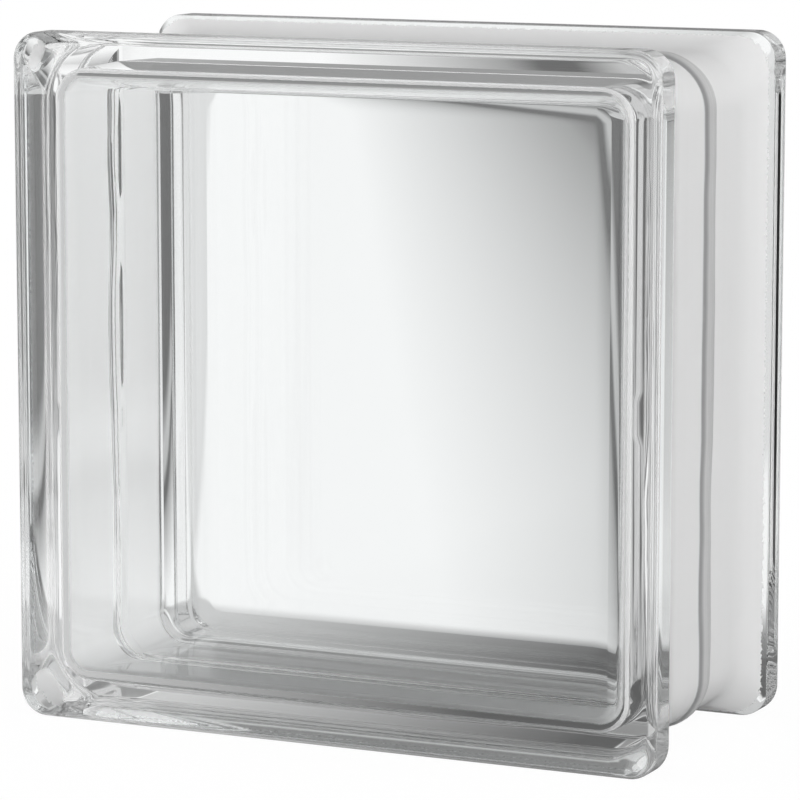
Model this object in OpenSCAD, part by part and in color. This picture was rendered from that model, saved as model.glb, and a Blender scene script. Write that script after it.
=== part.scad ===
// Hollow glass block for walls and screens, clear plain faces, standing on its edge.
// Two pressed glass halves are fused along a seam at mid depth, so the block is one piece of glass
// round a sealed, empty cavity. Millimetres. The front face looks along -Y, +Z is up and the
// origin is at the middle of the footprint on the floor.

/* [Faces] */
// Width of the front and back faces
face_w = 197; // [150:1:300]
// Height of the front and back faces
face_h = 197; // [150:1:300]
// Depth from the front face to the back face
block_d = 98; // [78:1:120]
// Radius of the four corners of each face
face_corner_r = 8; // [5:0.5:12]
// Rounding where a face turns into its rim
face_edge_r = 2.5; // [1:0.25:4]

/* [Rims] */
// Depth of the straight part of the rim behind each face
rim_d = 10; // [7:0.5:14]
// Rounding where a rim turns into the channel
rim_edge_r = 3; // [1:0.25:5]

/* [Mortar channel] */
// Depth of the channel below the rims
channel_deep = 4.5; // [3:0.25:8]
// Radius of the channel floor where it turns the block's corners
channel_corner_r = 15; // [13:0.5:18]
// Radius of the hollow curve that rises from the channel floor to each rim
cove_r = 30; // [10:1:40]
// Width of the raised seam band on the channel floor
seam_w = 9; // [6:0.5:12]
// Height of the seam band above the channel floor
seam_rise = 1; // [0.5:0.1:1.5]

/* [Cavity] */
// Thickness of the front and back panes
pane_t = 6.5; // [5:0.25:8]
// Thickness of the side walls beside the seam
wall_t = 5.2; // [4.5:0.1:6.5]
// Radius of the cavity's corners at the seam
cavity_corner_r = 10; // [9:0.5:13]
// Rounding between the side walls and a pane
cavity_edge_r = 6.5; // [4:0.25:7]
// Draft of the pressed side walls, in degrees
wall_draft = 1; // [0.5:0.1:1.2]
// Width of the glass ridge along the seam inside the cavity
ridge_w = 4; // [3:0.25:6]
// Height of the ridge above the side walls
ridge_rise = 0.6; // [0.3:0.1:0.9]

/* [Hidden] */
$fn = 96;
half_d = block_d / 2;
// The channel runs between the straight parts of the two rims.
channel_half = half_d - rim_d;
core_w = face_w - 2 * channel_deep;
core_h = face_h - 2 * channel_deep;
// A cove touches the channel floor and the rounding of the rim, and that touches the rim's side.
// Heights are measured from the channel floor.
lip_u = channel_deep - rim_edge_r;
cove_z = channel_half - sqrt(channel_deep * (2 * (cove_r + rim_edge_r) - channel_deep));
meet = cove_r / (cove_r + rim_edge_r);
meet_u = cove_r + meet * (lip_u - cove_r);
meet_z = cove_z + meet * (channel_half - cove_z);
// Each bead is the arc that stands on its width and reaches its height.
seam_r = (pow(seam_w / 2, 2) + pow(seam_rise, 2)) / (2 * seam_rise);
ridge_r = (pow(ridge_w / 2, 2) + pow(ridge_rise, 2)) / (2 * ridge_rise);
// The cavity is widest at the seam and narrows towards the panes.
cavity_w = core_w - 2 * wall_t;
cavity_h = core_h - 2 * wall_t;
cavity_half = half_d - pane_t;
// Centre of the pane rounding: it touches the pane and the drafted wall.
edge_z = cavity_half - cavity_edge_r;
edge_u = cavity_corner_r - edge_z * tan(wall_draft) - cavity_edge_r / cos(wall_draft);
touch_u = edge_u + cavity_edge_r * cos(wall_draft);
touch_z = edge_z + cavity_edge_r * sin(wall_draft);

// Carries a half section round a rounded rectangle w by h. The section's x runs outwards from the
// centre of a corner of radius r, its y is depth, and d is its whole depth at x = 0.
module sweep_round(w, h, r, d) {
    cube([w - 2 * r, h - 2 * r, d], center = true);
    for (k = [0 : 3]) {
        along = k % 2 == 0 ? w / 2 - r : h / 2 - r;
        across = k % 2 == 0 ? h / 2 - r : w / 2 - r;
        rotate([0, 0, 90 * k]) {
            translate([along, 0, 0])
                rotate([90, 0, 0])
                    linear_extrude(height = 2 * across, center = true)
                        children();
            translate([along, across, 0])
                rotate_extrude(angle = 90)
                    children();
        }
    }
}

// Half section of one face plate with its rim; the face is at y = rim_d / 2.
module rim_section() {
    top = rim_d / 2;
    translate([0, -top])
        square([face_corner_r - face_edge_r, rim_d]);
    translate([0, -top])
        square([face_corner_r, rim_d - face_edge_r]);
    translate([face_corner_r - face_edge_r, top - face_edge_r])
        circle(face_edge_r);
}

module face_plate() {
    sweep_round(face_w, face_h, face_corner_r, rim_d)
        rim_section();
}

// Half section of the body between the rims: channel floor, the coves up to the rims, the seam band.
module core_section() {
    translate([0, -channel_half])
        square([channel_corner_r, 2 * channel_half]);
    for (s = [-1, 1])
        translate([channel_corner_r, 0]) {
            difference() {
                polygon([
                    [0, s * cove_z], [0, s * channel_half],
                    [lip_u, s * channel_half], [meet_u, s * meet_z]
                ]);
                translate([cove_r, s * cove_z])
                    circle(cove_r);
            }
            intersection() {
                translate([lip_u, s * channel_half])
                    circle(rim_edge_r);
                polygon([
                    [lip_u, s * channel_half], [lip_u, s * meet_z],
                    [channel_deep, s * meet_z], [channel_deep, s * channel_half]
                ]);
            }
        }
    intersection() {
        translate([channel_corner_r + seam_rise - seam_r, 0])
            circle(seam_r);
        translate([channel_corner_r / 2, -seam_w])
            square([channel_corner_r, 2 * seam_w]);
    }
}

module core() {
    sweep_round(core_w, core_h, channel_corner_r, 2 * channel_half)
        core_section();
}

// Half section of the cavity: drafted walls, rounded to the panes, nicked by the ridge at the seam.
module cavity_section() {
    difference() {
        union() {
            polygon([
                [0, -cavity_half], [edge_u, -cavity_half], [touch_u, -touch_z],
                [cavity_corner_r, 0],
                [touch_u, touch_z], [edge_u, cavity_half], [0, cavity_half]
            ]);
            intersection() {
                for (s = [-1, 1])
                    translate([edge_u, s * edge_z])
                        circle(cavity_edge_r);
                translate([0, -half_d])
                    square([cavity_corner_r, block_d]);
            }
        }
        translate([cavity_corner_r - ridge_rise + ridge_r, 0])
            circle(ridge_r);
    }
}

module cavity() {
    sweep_round(cavity_w, cavity_h, cavity_corner_r, 2 * cavity_half)
        cavity_section();
}

// The fused block: two face plates on the channelled body, hollow inside.
module glass_block() {
    color([0.86, 0.89, 0.89, 0.35])
        translate([0, 0, face_h / 2])
            rotate([90, 0, 0])
                difference() {
                    union() {
                        translate([0, 0, half_d - rim_d / 2])
                            face_plate();
                        translate([0, 0, rim_d / 2 - half_d])
                            mirror([0, 0, 1])
                                face_plate();
                        core();
                    }
                    cavity();
                }
}

glass_block();
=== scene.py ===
# %% [markdown]
# # A hollow glass block
# The block is two shallow glass trays, pressed from hot glass and fused rim to rim, so it is one
# piece of clear glass round a sealed, empty cavity. A milky film of edge coating covers the mortar
# channel that runs round its four sides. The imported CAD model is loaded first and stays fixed: its
# box says where the block stands, in metres, with the front face towards -Y and the floor at zero.

# %% Load the fixed frame
import math

import bmesh
import bpy
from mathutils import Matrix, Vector


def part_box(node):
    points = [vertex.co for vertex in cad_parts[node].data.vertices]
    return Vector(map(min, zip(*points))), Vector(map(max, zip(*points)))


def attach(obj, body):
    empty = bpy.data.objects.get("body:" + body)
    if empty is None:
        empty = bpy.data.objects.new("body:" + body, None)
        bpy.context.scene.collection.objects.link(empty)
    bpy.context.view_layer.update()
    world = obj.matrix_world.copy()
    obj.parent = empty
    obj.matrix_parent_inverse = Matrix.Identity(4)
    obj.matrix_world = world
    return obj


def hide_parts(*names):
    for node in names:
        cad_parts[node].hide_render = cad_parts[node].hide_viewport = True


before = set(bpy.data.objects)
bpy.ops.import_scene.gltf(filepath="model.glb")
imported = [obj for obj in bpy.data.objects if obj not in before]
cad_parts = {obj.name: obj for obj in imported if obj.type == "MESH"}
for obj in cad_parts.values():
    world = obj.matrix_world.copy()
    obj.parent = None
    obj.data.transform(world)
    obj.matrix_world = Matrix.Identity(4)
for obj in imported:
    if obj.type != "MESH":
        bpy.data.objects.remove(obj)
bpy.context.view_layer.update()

MM = 0.001
low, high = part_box("glass_block")
print("CAD box in mm:", [round(v / MM, 1) for v in low], [round(v / MM, 1) for v in high])

# %% [markdown]
# ## The camera
# A long lens from the front and right, a little above the block. The place, the aim and the focal
# length were fitted to the block's own edges in the picture, so the camera comes first and every
# later piece can be judged through it.

# %% Place the camera
CAMERA_PLACE = (0.5101, -1.0883, 0.2758)
CAMERA_AIM = (0.0004, -0.0010, 0.0916)
CAMERA_LENS = 191.2
camera_data = bpy.data.cameras.new("camera")
camera_data.lens = CAMERA_LENS
camera_data.sensor_width = 36.0
camera = bpy.data.objects.new("camera", camera_data)
bpy.context.scene.collection.objects.link(camera)
look = Vector(CAMERA_AIM) - Vector(CAMERA_PLACE)
camera.location = CAMERA_PLACE
camera.rotation_euler = look.to_track_quat("-Z", "Y").to_euler()
bpy.context.scene.camera = camera
print("camera looks down by", round(math.degrees(-math.asin(look.normalized().z)), 1), "degrees")

# %% [markdown]
# ## The sizes of the section
# Cut through the block and every side shows the same section: a thick pane at each face, a rim that
# stands out round each pane, a sunk channel between the rims with the fused seam in its middle, and
# a thin side wall. These are the sizes of that section in millimetres. The outer ones come from the
# box of the CAD model, and the rest repeat the values the CAD model was built with.

# %% Name the sizes
face_half = (high[0] - low[0]) / 2 / MM
depth_half = (high[1] - low[1]) / 2 / MM
middle_z = (high[2] + low[2]) / 2
FACE_CORNER = 8.0
FACE_EDGE = 2.5
RIM_DEPTH = 10.0
RIM_EDGE = 3.0
CHANNEL_DEEP = 4.5
CHANNEL_CORNER = 15.0
COVE = 30.0
SEAM_WIDTH = 9.0
SEAM_RISE = 1.0
PANE = 6.5
WALL = 5.2
CAVITY_CORNER = 10.0
CAVITY_EDGE = 6.5
WALL_DRAFT = math.radians(1.0)
RIDGE_WIDTH = 4.0
RIDGE_RISE = 0.6
rim_back = depth_half - RIM_DEPTH
channel_half = face_half - CHANNEL_DEEP
cavity_half = channel_half - WALL
cavity_depth = depth_half - PANE
spans = [round(2 * half, 1) for half in (face_half, depth_half, channel_half)]
print("face, depth and channel floor in mm:", spans)

# %% [markdown]
# ## Outlines to stretch the glass over
# The section goes round a square with rounded corners, and the corner radius changes from the rims
# to the channel. One way is to sweep the section along a path, but a sweep keeps one corner centre.
# So the block is built as a boat is, on outlines: each is a plane whose corners are bevelled round
# and whose face is removed, and the outlines stand one behind the other along the depth. The long
# edges are subdivided, so that the fused seam can waver later.

# %% A helper that adds one outline
CORNER_STEPS = 14
SIDE_CUTS = 39


def add_outline(half, corner, depth):
    """Adds a rounded square, half as wide as given, standing at this depth, to the mesh in edit mode."""
    bpy.ops.mesh.select_all(action="DESELECT")
    bpy.ops.mesh.primitive_plane_add(
        size=2 * half * MM,
        location=(0, depth * MM, middle_z),
        rotation=(math.radians(90), 0, 0),
    )
    bpy.ops.mesh.bevel(affect="VERTICES", offset=corner * MM, segments=CORNER_STEPS)
    bpy.ops.mesh.delete(type="ONLY_FACE")
    sheet = bmesh.from_edit_mesh(bpy.context.edit_object.data)
    straight = (half - corner) * MM
    for edge in sheet.edges:
        edge.select_set(edge.calc_length() > straight)
    bmesh.update_edit_mesh(bpy.context.edit_object.data)
    bpy.ops.mesh.subdivide(number_cuts=SIDE_CUTS)


# %% [markdown]
# ## Skins between the outlines
# Neighbouring outlines are joined with Bridge Edge Loops, pair by pair. Each outline keeps its own
# run of vertices in the mesh, in the order in which it was added, so a pair is found by number.

# %% A helper that bridges a row of outlines into a skin
def edit(piece, select_by):
    """Opens one object for editing with nothing selected, and returns its mesh."""
    bpy.ops.object.select_all(action="DESELECT")
    bpy.context.view_layer.objects.active = piece
    piece.select_set(True)
    bpy.ops.object.mode_set(mode="EDIT")
    bpy.ops.mesh.select_mode(type=select_by)
    bpy.ops.mesh.select_all(action="DESELECT")
    return bmesh.from_edit_mesh(piece.data)


def select_rows(piece, count, rows):
    """Selects the edges that run along the outlines with these numbers."""
    bpy.ops.mesh.select_all(action="DESELECT")
    sheet = bmesh.from_edit_mesh(piece.data)
    for edge in sheet.edges:
        numbers = {vertex.index // count for vertex in edge.verts}
        edge.select_set(len(numbers) == 1 and numbers <= rows)
    bmesh.update_edit_mesh(piece.data)


def build_skin(name, rows):
    """A skin over outlines (half, corner, depth) in millimetres, closed by a pane at each end."""
    skin = bpy.data.objects.new(name, bpy.data.meshes.new(name))
    bpy.context.scene.collection.objects.link(skin)
    edit(skin, "EDGE")
    for half, corner, depth in rows:
        add_outline(half, corner, depth)
    skin.update_from_editmode()
    count = len(skin.data.vertices) // len(rows)
    last = len(rows) - 1
    for number in range(last):
        select_rows(skin, count, {number, number + 1})
        bpy.ops.mesh.bridge_edge_loops()
    for end in (0, last):
        select_rows(skin, count, {end})
        bpy.ops.mesh.edge_face_add()
    bpy.ops.object.mode_set(mode="OBJECT")
    print(name, "has", len(rows), "outlines of", count, "points and", len(skin.data.polygons), "faces")
    return skin


# %% [markdown]
# ## The outer skin
# From the front face backwards: the face, the straight side of its rim, the rounding of the rim, the
# long hollow curve down to the channel floor, the fused seam as a low bead with a shallow groove where
# the halves met, and then the same again to the back face. The corners are tight at the rim and grow
# wider down to the floor, so each outline's corner follows its height above the floor.

# %% Stack the outer outlines
LIP_STEPS = 4
COVE_STEPS = 14
BEAD_STEPS = 6
GROOVE = 0.2
bead_radius = ((SEAM_WIDTH / 2) ** 2 + SEAM_RISE**2) / (2 * SEAM_RISE)
cove_reach = math.sqrt(CHANNEL_DEEP * (2 * (COVE + RIM_EDGE) - CHANNEL_DEEP))
cove_turn = math.asin(cove_reach / (COVE + RIM_EDGE))


def channel_row(rise, depth):
    """An outline that stands so much above the channel floor, with a corner to suit."""
    corner = CHANNEL_CORNER + (FACE_CORNER - CHANNEL_CORNER) * rise / CHANNEL_DEEP
    return (channel_half + rise, corner, depth)


face_line = (face_half, FACE_CORNER, -depth_half)
front_rows = [face_line]
for step in range(LIP_STEPS):
    turn = cove_turn * step / LIP_STEPS
    drop = RIM_EDGE * (1 - math.cos(turn))
    front_rows.append(channel_row(CHANNEL_DEEP - drop, -rim_back + RIM_EDGE * math.sin(turn)))
for step in range(COVE_STEPS + 1):
    turn = cove_turn * (1 - step / COVE_STEPS)
    rise = COVE * (1 - math.cos(turn))
    front_rows.append(channel_row(rise, -rim_back + cove_reach - COVE * math.sin(turn)))
for step in range(BEAD_STEPS):
    along = -SEAM_WIDTH / 2 + step * SEAM_WIDTH / 2 / BEAD_STEPS
    rise = math.sqrt(bead_radius**2 - along**2) - bead_radius + SEAM_RISE
    front_rows.append((channel_half + rise, CHANNEL_CORNER + rise, along))
crest = SEAM_RISE - GROOVE
middle_row = [(channel_half + crest, CHANNEL_CORNER + crest, 0.0)]
back_rows = [(half, corner, -depth) for half, corner, depth in reversed(front_rows)]
outer = build_skin("pressed_glass", front_rows + middle_row + back_rows)

# %% [markdown]
# ## The cavity
# The inner skin is the hollow of the trays: two panes, side walls that lean a little so that the
# press could pull out of the glass, and a small ridge where soft glass welled up inside the seam.
# Between pane and wall the plunger left a round, and just before it the pane swells a little and
# ends in a slight crease. That round draws the frame of the front, so its section is drawn turn by
# turn: each turn has a radius in millimetres, a slope in degrees at which it ends, and its steps.

# %% Draw the rounded edge between pane and wall
PANE_CORNER = 1.5
SWELL_TURN = (45.0, 5.0, 4)
CREASE_TURN = (0.5, 12.0, 2)
EDGE_TURN = (CAVITY_EDGE, 90.0, 18)
lean = math.tan(WALL_DRAFT)


def cavity_row(rise, depth):
    """An outline of the leaning wall at this depth, raised off it by so much."""
    out = -abs(depth) * lean - rise
    return (cavity_half + out, CAVITY_CORNER + out, depth)


def edge_rows():
    """Outlines from the flat of the front pane to the front end of the wall, turn by turn."""
    half = 0.0
    depth = -cavity_depth
    spots = [(half, depth)]
    slope = 0.0
    for radius, end, steps in (SWELL_TURN, CREASE_TURN, EDGE_TURN):
        start = slope
        for step in range(1, steps + 1):
            slope = start + (math.radians(end) - start) * step / steps
            before = start + (math.radians(end) - start) * (step - 1) / steps
            half += radius * (math.sin(slope) - math.sin(before))
            depth += radius * (math.cos(before) - math.cos(slope))
            spots.append((half, depth))
    shift = cavity_row(0.0, depth)[0] - half
    rows = []
    for half, depth in spots:
        corner = CAVITY_CORNER + half + shift - cavity_half
        rows.append((half + shift, max(corner, PANE_CORNER), depth))
    return rows


front_rows = edge_rows()
wall_end = -front_rows[-1][2]
print("the flat of the pane ends", round(face_half - front_rows[0][0], 1), "mm inside the rim")
print("the side wall starts", round(depth_half - wall_end, 1), "mm behind the face")

# %% Stack the cavity outlines
RIDGE_STEPS = 4
WALL_STEPS = 3
ridge_radius = ((RIDGE_WIDTH / 2) ** 2 + RIDGE_RISE**2) / (2 * RIDGE_RISE)
for step in range(1, WALL_STEPS):
    along = -wall_end + step * (wall_end - RIDGE_WIDTH / 2) / WALL_STEPS
    front_rows.append(cavity_row(0.0, along))
for step in range(RIDGE_STEPS):
    along = -RIDGE_WIDTH / 2 + step * RIDGE_WIDTH / 2 / RIDGE_STEPS
    rise = math.sqrt(ridge_radius**2 - along**2) - ridge_radius + RIDGE_RISE
    front_rows.append(cavity_row(rise, along))
middle_row = [cavity_row(RIDGE_RISE, 0.0)]
back_rows = [(half, corner, -depth) for half, corner, depth in reversed(front_rows)]
inner = build_skin("cavity", front_rows + middle_row + back_rows)

# %% [markdown]
# ## Rounding the edges
# Pressed glass has no sharp edge: the mould rounds it and the fire polishes it. The outlines already
# follow the rounds of the rims and of the cavity, and only the edge of each face is still sharp. Its
# loop of edges is selected by its place and bevelled by the radius it really has. First each pane
# gets an inset, a loop that stays flat and so keeps the pane's shading true.

# %% Helpers that find an outline again
NEAR = 0.02


def beyond(point, half, corner):
    """How far a point is outside a rounded square round the block's axis, in millimetres."""
    across = abs(point.x) / MM - half + corner
    up = abs(point.z - middle_z) / MM - half + corner
    if across > 0 and up > 0:
        return math.hypot(across, up) - corner
    return max(across, up) - corner


def on_outline(point, line):
    """True if a point lies on this outline, at the front or at the back."""
    half, corner, depth = line
    level = abs(abs(point.y) / MM - abs(depth)) < NEAR
    return level and abs(beyond(point, half, corner)) < NEAR


# %% Inset the panes and bevel the edge of the faces
FACE_EDGE_STEPS = 8
FLAT_LOOP = 1.0


def inset_panes(piece, width):
    """Adds a loop inside each pane, so many millimetres from its edge."""
    sheet = edit(piece, "FACE")
    for face in sheet.faces:
        face.select_set(len(face.verts) > 4)
    bmesh.update_edit_mesh(piece.data)
    bpy.ops.mesh.inset(thickness=width * MM, use_individual=True)
    bpy.ops.object.mode_set(mode="OBJECT")
    print("inset the panes of", piece.name, "by", width, "mm")


def round_line(piece, line, radius, steps):
    """Bevels the edges along an outline, at the front and at the back of the block."""
    sheet = edit(piece, "EDGE")
    for edge in sheet.edges:
        edge.select_set(all(on_outline(vertex.co, line) for vertex in edge.verts))
    chosen = sum(edge.select for edge in sheet.edges)
    bmesh.update_edit_mesh(piece.data)
    bpy.ops.mesh.bevel(affect="EDGES", offset=radius * MM, segments=steps, profile=0.5)
    bpy.ops.object.mode_set(mode="OBJECT")
    print("rounded", chosen, "edges of", piece.name, "by", radius, "mm")


inset_panes(outer, FACE_EDGE + FLAT_LOOP)
inset_panes(inner, FLAT_LOOP)
round_line(outer, face_line, FACE_EDGE, FACE_EDGE_STEPS)

# %% [markdown]
# ## One piece of glass
# Light bends by which side of a face is glass, so the outer skin has to face outwards and the
# cavity's skin has to face into the cavity. Both get their normals recalculated on their own, and
# the cavity then joins the outer skin as one mesh: the wall is the glass between them.

# %% Turn the normals and join the skins
DOUBLES = 0.01
for skin, into in ((outer, False), (inner, True)):
    edit(skin, "FACE")
    bpy.ops.mesh.select_all(action="SELECT")
    bpy.ops.mesh.remove_doubles(threshold=DOUBLES * MM)
    bpy.ops.mesh.normals_make_consistent(inside=into)
    bpy.ops.object.mode_set(mode="OBJECT")
bpy.ops.object.select_all(action="DESELECT")
inner.select_set(True)
outer.select_set(True)
bpy.context.view_layer.objects.active = outer
bpy.ops.object.join()
block = outer
solid = bmesh.new()
solid.from_mesh(block.data)
glass_volume = solid.calc_volume(signed=True) / MM**3
solid.free()
print("glass volume", round(glass_volume / 1000, 1), "cm3")

# %% [markdown]
# ## What the heat left
# The seam was soft when the halves met, so it wanders along the channel, and its bead is a little
# uneven. The points could be moved one by one in code, but a Displace modifier with a soft noise does
# it for a whole vertex group. The panes stay out of it and stay flat. Each point first notes its
# distance from the seam, so that the coating can follow the seam's waves later.

# %% A helper that lets a group of points waver
def waver(group_name, chosen, direction, grain, reach):
    """Moves the chosen points by a noise with this grain, up to about half the reach either way."""
    group = block.vertex_groups.new(name=group_name)
    group.add([vertex.index for vertex in block.data.vertices if chosen(vertex.co)], 1.0, "REPLACE")
    noise = bpy.data.textures.new(group_name, type="CLOUDS")
    noise.noise_scale = grain * MM
    noise.noise_depth = 1
    push = block.modifiers.new(group_name, "DISPLACE")
    push.texture = noise
    push.texture_coords = "LOCAL"
    push.vertex_group = group_name
    push.direction = direction
    push.strength = reach * MM
    push.mid_level = 0.5
    bpy.ops.object.modifier_apply(modifier=push.name)
    print(group_name, "wavers by up to", reach / 2, "mm either way")


# %% Let the seam waver
WANDER_GRAIN = 40.0
WANDER_REACH = 4.5
BEAD_GRAIN = 9.0
BEAD_REACH = 0.25
CHANNEL_SKIN = -1.0


def on_channel(point):
    """True on the channel's side of the wall, which no point of the cavity reaches."""
    return beyond(point, channel_half, CHANNEL_CORNER) > CHANNEL_SKIN


def in_seam(point):
    """True on the fused bead and its feet."""
    return on_channel(point) and abs(point.y) / MM < SEAM_WIDTH / 2 + NEAR


still = block.data.attributes.new("seam_distance", "FLOAT", "POINT")
for vertex in block.data.vertices:
    still.data[vertex.index].value = abs(vertex.co.y)
waver("seam_line", in_seam, "Y", WANDER_GRAIN, WANDER_REACH)
waver("seam_bead", in_seam, "NORMAL", BEAD_GRAIN, BEAD_REACH)

# %% [markdown]
# ## Shading
# The bevels are smooth from step to step, and only the foot of the seam bead stays a crisp line.
# Weighted Normal then lets each big flat face keep its own direction, so that the panes are true
# and the picture behind them doesn't bend.

# %% Smooth the glass and weigh the normals
CRISP = math.radians(20)
bpy.ops.object.select_all(action="DESELECT")
block.select_set(True)
bpy.context.view_layer.objects.active = block
bpy.ops.object.shade_smooth_by_angle(angle=CRISP)
weigh = block.modifiers.new("weigh", "WEIGHTED_NORMAL")
weigh.keep_sharp = True
bpy.ops.object.modifier_apply(modifier=weigh.name)
block.data.calc_loop_triangles()
print("triangles", len(block.data.loop_triangles))

# %% [markdown]
# ## Helpers for materials
# Colours are written as they look on a screen and turned to linear light in one place. One small
# function adds a node with its settings and its links, and another gives a ramp its stops.

# %% Colour and node helpers
def linear(hex_colour):
    """The linear RGBA of an sRGB colour such as DDE0E0."""
    parts = [int(hex_colour[i : i + 2], 16) / 255 for i in (0, 2, 4)]
    return [p / 12.92 if p <= 0.04045 else ((p + 0.055) / 1.055) ** 2.4 for p in parts] + [1.0]


def add_node(tree, kind, settings=None, **inputs):
    """Adds a node. Settings are its own properties, inputs are values or sockets to link."""
    node = tree.nodes.new(kind)
    for name, value in (settings or {}).items():
        setattr(node, name, value)
    for name, value in inputs.items():
        key = int(name[1:]) if name[0] == "i" and name[1:].isdigit() else name.replace("_", " ")
        if isinstance(value, bpy.types.NodeSocket):
            tree.links.new(value, node.inputs[key])
        else:
            node.inputs[key].default_value = value
    return node


def set_stops(ramp, stops):
    """Gives a ramp its stops, each a place from 0 to 1 and a linear colour."""
    elements = ramp.color_ramp.elements
    elements.remove(elements[1])
    for number, (place, colour) in enumerate(stops):
        stop = elements[0] if number == 0 else elements.new(place)
        stop.position = place
        stop.color = colour


def new_material(name):
    """A new material with an empty node tree, and that tree."""
    material = bpy.data.materials.new(name)
    material.use_nodes = True
    material.node_tree.nodes.clear()
    return material, material.node_tree


# %% [markdown]
# ## Clear pressed glass
# Soda-lime glass, fire-polished after the press: colourless, smooth, with an index of 1.52. The
# only trace of the mould is a very slight swell of the surface, a few centimetres from crest to
# crest, that makes reflections waver a little.

# %% Make the clear glass
CLEAR = "FDFEFE"
GLASS_IOR = 1.52
SWELL = 30.0
glass, tree = new_material("clear_pressed_soda_lime_glass")
place = add_node(tree, "ShaderNodeTexCoord")
swell = add_node(
    tree, "ShaderNodeTexNoise", Vector=place.outputs["Object"],
    Scale=1 / (SWELL * MM), Detail=1.0, Roughness=0.4,
)
surface = add_node(
    tree, "ShaderNodeBump", Strength=0.1, Distance=0.05 * MM, Height=swell.outputs["Fac"],
)
clear = add_node(
    tree, "ShaderNodeBsdfPrincipled", Base_Color=linear(CLEAR), Roughness=0.0, IOR=GLASS_IOR,
    Transmission_Weight=1.0, Normal=surface.outputs["Normal"],
)
add_node(tree, "ShaderNodeOutputMaterial", Surface=clear.outputs["BSDF"])
print(glass.name, "has an index of", GLASS_IOR, "and a swell of", SWELL, "mm")

# %% [markdown]
# ## Edge coating
# A sprayed polymer film in the mortar channel, milky and satin, that lets about half of the light
# through. Its white is slightly streaked along the channel. Over the fused bead the film has painted
# shade: seen from outside it is painted greyer, darkest along the bead's two feet. The painted shade
# is a ramp over the distance from the seam in millimetres, and reads the distance that each point noted.

# %% Colour the film
STREAK = 4.0
STREAK_DRAWN_OUT = 0.03
SEAM_PAINTED_SHADE = ((0.0, 0.5), (2.0, 0.5), (3.4, 1.0), (4.1, 1.0), (4.7, 0.0))
PAINTED_SHADE_REACH = 5.0
coating, tree = new_material("milky_edge_coating")
place = add_node(tree, "ShaderNodeTexCoord")
drawn = add_node(
    tree, "ShaderNodeMapping", Vector=place.outputs["Object"],
    Scale=(STREAK_DRAWN_OUT, 1.0, STREAK_DRAWN_OUT),
)
streaks = add_node(
    tree, "ShaderNodeTexNoise", Vector=drawn.outputs["Vector"], Scale=1 / (STREAK * MM), Detail=3.0,
)
film = add_node(
    tree, "ShaderNodeMix", {"data_type": "RGBA"}, i0=streaks.outputs["Fac"],
    i6=linear("F8F8F8"), i7=linear("FEFEFE"),
)
# Painted shade: the grey of the bead, seen from outside.
bead_painted_shade = add_node(
    tree, "ShaderNodeMix", {"data_type": "RGBA"}, i0=streaks.outputs["Fac"],
    i6=linear("848485"), i7=linear("B4B4B5"),
)
off_seam = add_node(tree, "ShaderNodeAttribute", {"attribute_name": "seam_distance"})
across_seam = add_node(
    tree, "ShaderNodeMapRange", Value=off_seam.outputs["Fac"],
    From_Min=0.0, From_Max=PAINTED_SHADE_REACH * MM,
)
bead_shade_ramp = add_node(tree, "ShaderNodeValToRGB", Fac=across_seam.outputs[0])
set_stops(bead_shade_ramp, [(off / PAINTED_SHADE_REACH, (share, share, share, 1.0)) for off, share in SEAM_PAINTED_SHADE])
side = add_node(tree, "ShaderNodeNewGeometry")
outside = add_node(
    tree, "ShaderNodeMath", {"operation": "SUBTRACT"}, i0=1.0, i1=side.outputs["Backfacing"],
)
# Painted shade only on the outside of the film, by the ramp across the seam.
painted_shade_outside = add_node(
    tree, "ShaderNodeMath", {"operation": "MULTIPLY"}, i0=bead_shade_ramp.outputs[0], i1=outside.outputs[0],
)
tone_with_painted_shade = add_node(
    tree, "ShaderNodeMix", {"data_type": "RGBA"}, i0=painted_shade_outside.outputs[0],
    i6=film.outputs[2], i7=bead_painted_shade.outputs[2],
)
# Painted shade: the film is painted greyer over the bead up to this distance from the seam.
print(coating.name, "is worn up to", SEAM_PAINTED_SHADE[-1][0], "mm from the seam")

# %% [markdown]
# ## How the film lies on the glass
# The film doesn't wet the fire-polished glass. So from inside the block the glass still mirrors at a
# flat angle and shows the film only at a steep one, and from outside the film has a satin sheen. The
# Fresnel node knows the share of the mirror on both sides. Light that has been scattered once meets
# the film as plain milk, which looks much the same and renders faster.

# %% Build the film in layers
GRIT = 1.2
SATIN = 0.4
LET_THROUGH = 0.5
grit = add_node(
    tree, "ShaderNodeTexNoise", Vector=place.outputs["Object"], Scale=1 / (GRIT * MM), Detail=2.0,
)
rough = add_node(
    tree, "ShaderNodeBump", Strength=0.2, Distance=0.1 * MM, Height=grit.outputs["Fac"],
)
paint = add_node(
    tree, "ShaderNodeBsdfDiffuse", Color=tone_with_painted_shade.outputs[2], Normal=rough.outputs["Normal"],
)
through = add_node(tree, "ShaderNodeBsdfTranslucent", Color=tone_with_painted_shade.outputs[2])
milky = add_node(
    tree, "ShaderNodeMixShader", i0=LET_THROUGH, i1=paint.outputs[0], i2=through.outputs[0],
)
gloss = add_node(
    tree, "ShaderNodeMath", {"operation": "MULTIPLY"}, i0=outside.outputs[0], i1=SATIN,
)
sheen = add_node(
    tree, "ShaderNodeBsdfAnisotropic", Color=linear("FFFFFF"), Roughness=gloss.outputs[0],
)
shine = add_node(tree, "ShaderNodeFresnel", IOR=GLASS_IOR)
light_path = add_node(tree, "ShaderNodeLightPath")
unscattered = add_node(
    tree, "ShaderNodeMath", {"operation": "LESS_THAN"},
    i0=light_path.outputs["Diffuse Depth"], i1=1.0,
)
mirror = add_node(
    tree, "ShaderNodeMath", {"operation": "MULTIPLY"}, i0=shine.outputs[0], i1=unscattered.outputs[0],
)
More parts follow.
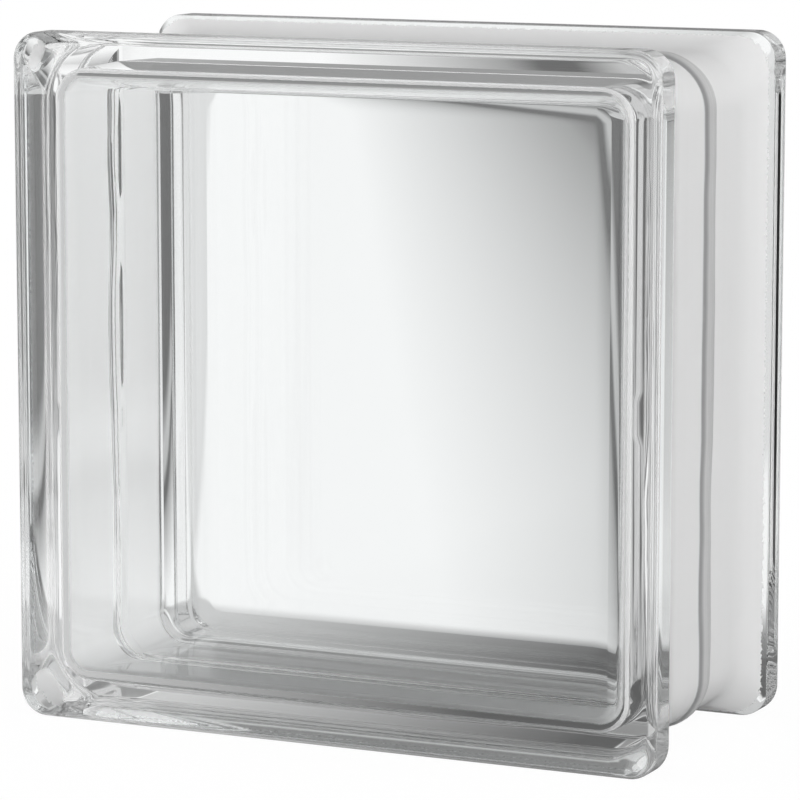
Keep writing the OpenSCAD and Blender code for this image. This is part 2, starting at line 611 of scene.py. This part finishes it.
skin = add_node(
    tree, "ShaderNodeMixShader", i0=mirror.outputs[0], i1=milky.outputs[0], i2=sheen.outputs[0],
)
print(coating.name, "has a grit of", GRIT, "mm and lets", LET_THROUGH, "of the light through")

# %% [markdown]
# ## Where the film ends
# A spray leaves no sharp line: the film breaks up into specks where the rims begin. So the distance
# from the seam is shaken by a fine noise before it is cut off, and past the cut the glass is bare.

# %% End the film in specks
SPECK = 0.9
SPECK_REACH = 2.4
FILM_STOP = 37.4
FILM_GONE = 37.5
specks = add_node(
    tree, "ShaderNodeTexNoise", Vector=place.outputs["Object"], Scale=1 / (SPECK * MM), Detail=2.0,
)
ragged = add_node(
    tree, "ShaderNodeMath", {"operation": "MULTIPLY_ADD"},
    i0=specks.outputs["Fac"], i1=SPECK_REACH * MM, i2=off_seam.outputs["Fac"],
)
end = add_node(
    tree, "ShaderNodeMapRange", Value=ragged.outputs[0],
    From_Min=FILM_STOP * MM, From_Max=FILM_GONE * MM, To_Min=0.0, To_Max=1.0,
)
bare_glass = add_node(
    tree, "ShaderNodeBsdfGlass", Color=linear(CLEAR), Roughness=0.0, IOR=GLASS_IOR,
)
edge = add_node(
    tree, "ShaderNodeMixShader", i0=end.outputs[0], i1=skin.outputs[0], i2=bare_glass.outputs[0],
)
add_node(tree, "ShaderNodeOutputMaterial", Surface=edge.outputs[0])
print(coating.name, "ends in specks about", round(FILM_STOP - SPECK_REACH / 2, 1), "mm from the seam")

# %% [markdown]
# ## Finish by face
# The film was sprayed into the channel after the block had cooled. The faces get their slots by place:
# film on the channel floor, its coves and the seam, and clear glass on all the rest. The film's faces
# reach a little past the channel, to leave room for its specks.

# %% Give each face its finish
FILM_MARGIN = 1.0
block.data.materials.clear()
block.data.materials.append(glass)
block.data.materials.append(coating)
sheet = edit(block, "FACE")
for face in sheet.faces:
    centre = face.calc_center_median()
    between_rims = abs(centre.y) / MM < rim_back + FILM_MARGIN
    face.select_set(between_rims and on_channel(centre))
coated = sum(face.select for face in sheet.faces)
bmesh.update_edit_mesh(block.data)
block.active_material_index = 1
bpy.ops.object.material_slot_assign()
bpy.ops.object.mode_set(mode="OBJECT")
print("coated faces", coated, "of", len(block.data.polygons))
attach(block, "root")
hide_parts("glass_block")

# %% [markdown]
# ## The floor
# A pale table with a wide sheet of white paper behind the block. The camera sees white, with a trace
# of the block's shadow, and the floor lights the block as plain pale paper does. But glass shows its
# surroundings more than itself, so the floor also glows with painted shade that only clear glass
# shows: a painted shadow stripe across the sheet with darker shade beyond it, and a painted shadow
# of the block on the table under its right side. They draw the gradient in the pane and the grey
# bands of the frame. One ramp of painted shade runs across the sheet and another across the table.

# %% A helper for tones across the floor
def tones_along(tree, spot, direction, start, tones):
    """A ramp of colours along a direction on the floor: metres from the start, and the colour there."""
    along = add_node(
        tree, "ShaderNodeVectorMath", {"operation": "DOT_PRODUCT"},
        i0=spot.outputs["Object"], i1=direction,
    )
    reach = tones[-1][0]
    part = add_node(
        tree, "ShaderNodeMapRange", Value=along.outputs["Value"],
        From_Min=start, From_Max=start + reach,
    )
    ramp = add_node(tree, "ShaderNodeValToRGB", Fac=part.outputs[0])
    set_stops(ramp, [(off / reach, linear(colour)) for off, colour in tones])
    return ramp


# %% Lay the floor
FLOOR_WIDE = 14.0
bpy.ops.object.select_all(action="DESELECT")
bpy.ops.mesh.primitive_circle_add(vertices=96, radius=FLOOR_WIDE / 2, fill_type="NGON")
floor = bpy.context.object
floor.name = "floor"
print("the floor is", FLOOR_WIDE, "m across")

# %% Paint shade on the table and the sheet
SHEET_FRONT = (0.09, 0.12)
SHEET_TURN = math.radians(26.7)
SHEET_START = -0.19
# Painted shade across the sheet: white paper, a painted shadow stripe and darker shade beyond it.
SHEET_PAINTED_SHADE = (
    (0.0, "E4E4E4"), (0.05, "FFFFFF"), (0.21, "FFFFFF"), (0.37, "A0A0A0"), (0.40, "606060"),
    (0.43, "606060"), (0.47, "C0C0C0"), (0.53, "C0C0C0"), (0.58, "989898"), (0.65, "606060"),
)
TABLE_START = -0.1
# Painted shadow of the block on the table, under its right side.
TABLE_PAINTED_SHADOW = ((0.0, "CCCCCC"), (0.14, "606060"), (0.22, "606060"), (0.4, "CCCCCC"))
paper, tree = new_material("white_paper_sweep")
spot = add_node(tree, "ShaderNodeTexCoord")
across = (math.cos(SHEET_TURN), math.sin(SHEET_TURN), 0.0)
sheet_shade_ramp = tones_along(tree, spot, across, SHEET_START, SHEET_PAINTED_SHADE)
table_shadow_ramp = tones_along(tree, spot, (1.0, 0.0, 0.0), TABLE_START, TABLE_PAINTED_SHADOW)
ground = add_node(tree, "ShaderNodeSeparateXYZ", Vector=spot.outputs["Object"])
behind = add_node(
    tree, "ShaderNodeMapRange", {"interpolation_type": "SMOOTHSTEP"}, Value=ground.outputs["Y"],
    From_Min=SHEET_FRONT[0], From_Max=SHEET_FRONT[1], To_Min=0.0, To_Max=1.0,
)
tone_with_painted_shade = add_node(
    tree, "ShaderNodeMix", {"data_type": "RGBA"}, i0=behind.outputs[0],
    i6=table_shadow_ramp.outputs["Color"], i7=sheet_shade_ramp.outputs["Color"],
)
print(paper.name, "has", len(SHEET_PAINTED_SHADE), "tones behind the block and", len(TABLE_PAINTED_SHADOW), "under it")

# %% Show the painted shade to the glass and white to the camera
CAMERA_WHITE = 0.96
light_path = add_node(tree, "ShaderNodeLightPath")
matt = add_node(tree, "ShaderNodeBsdfDiffuse", Color=linear("F0F0F0"))
# Painted shade: clear glass sees the floor's painted tones as a glow.
painted_shade_glow = add_node(tree, "ShaderNodeEmission", Color=tone_with_painted_shade.outputs[2], Strength=1.0)
lit = add_node(
    tree, "ShaderNodeMixShader", i0=light_path.outputs["Is Glossy Ray"],
    i1=matt.outputs[0], i2=painted_shade_glow.outputs[0],
)
seen = add_node(
    tree, "ShaderNodeMath", {"operation": "MULTIPLY"},
    i0=light_path.outputs["Is Camera Ray"], i1=CAMERA_WHITE,
)
white = add_node(tree, "ShaderNodeEmission", Color=linear("FFFFFF"), Strength=1.0)
sweep = add_node(
    tree, "ShaderNodeMixShader", i0=seen.outputs[0], i1=lit.outputs[0], i2=white.outputs[0],
)
add_node(tree, "ShaderNodeOutputMaterial", Surface=sweep.outputs[0])
floor.data.materials.append(paper)
print("the camera sees", CAMERA_WHITE, "white paper, and the rest is its light and shadow")

# %% [markdown]
# ## The studio
# Soft light comes from the right, the left and, weaker, the front. The air behind and overhead is
# darker, and draws the dark lines along the edges of the glass. Lamps would show as hard shapes in
# the glass, so the light is painted on the sky: each panel is a round field with a soft border, laid
# over the level of the room. It has an azimuth and a height, an inner and an outer angle, all in
# degrees, and a level, where 1 is white paper.

# %% Name the panels
ROOM = 0.75
PANELS = (
    ("right", -25, 22, 30, 65, 2.3),
    ("left", 185, 15, 25, 50, 3.2),
    ("front", 275, 25, 15, 40, 1.3),
    ("dim_back", 112, 8, 6, 13, 0.3),
    ("dark_back", 112, 42, 12, 24, 0.2),
    ("dark_top", 0, 90, 15, 40, 0.3),
    ("dark_corner", 155, 55, 14, 28, 0.25),
)

# %% Paint the panels on the sky
world = bpy.data.worlds.new("studio")
bpy.context.scene.world = world
world.use_nodes = True
tree = world.node_tree
tree.nodes.clear()
way = add_node(tree, "ShaderNodeTexCoord")
level_so_far = ROOM
for name, azimuth, height, inner_angle, outer_angle, level in PANELS:
    turn = math.radians(azimuth)
    rise = math.radians(height)
    aim = (math.cos(rise) * math.cos(turn), math.cos(rise) * math.sin(turn), math.sin(rise))
    near = add_node(
        tree, "ShaderNodeVectorMath", {"operation": "DOT_PRODUCT"},
        i0=way.outputs["Generated"], i1=aim,
    )
    part = add_node(
        tree, "ShaderNodeMapRange", {"interpolation_type": "SMOOTHSTEP"}, Value=near.outputs["Value"],
        From_Min=math.cos(math.radians(outer_angle)), From_Max=math.cos(math.radians(inner_angle)),
        To_Min=0.0, To_Max=1.0,
    )
    panel = add_node(
        tree, "ShaderNodeMix", {"data_type": "FLOAT"}, i0=part.outputs[0], i2=level_so_far, i3=level,
    )
    level_so_far = panel.outputs[0]
    print("panel", name, "has a level of", level)

# %% [markdown]
# ## What the glass and the camera see
# Clear glass sees the panels no brighter than a pale wall, so that its edges don't sparkle, while the
# coating is lit by the panels as they are. The camera sees plain white.

# %% Tone the sky for the glass and the camera
PALE_WALL = 0.6
light_path = add_node(tree, "ShaderNodeLightPath")
pale = add_node(
    tree, "ShaderNodeMath", {"operation": "MINIMUM"}, i0=level_so_far, i1=PALE_WALL,
)
shown = add_node(
    tree, "ShaderNodeMix", {"data_type": "FLOAT"}, i0=light_path.outputs["Is Glossy Ray"],
    i2=level_so_far, i3=pale.outputs[0],
)
sky = add_node(
    tree, "ShaderNodeMix", {"data_type": "FLOAT"}, i0=light_path.outputs["Is Camera Ray"],
    i2=shown.outputs[0], i3=1.0,
)
air = add_node(tree, "ShaderNodeBackground", Color=(1, 1, 1, 1), Strength=sky.outputs[0])
add_node(tree, "ShaderNodeOutputWorld", Surface=air.outputs[0])
print("clear glass sees a sky of", PALE_WALL, "at most")

# %% [markdown]
# ## Bounces and view
# Light has to cross many faces of the block, so the number of bounces goes up.

# %% Set the bounces and the view transform
scene = bpy.context.scene
scene.cycles.max_bounces = 40
scene.cycles.transmission_bounces = 40
scene.cycles.glossy_bounces = 24
scene.cycles.diffuse_bounces = 8
scene.view_settings.view_transform = "Standard"
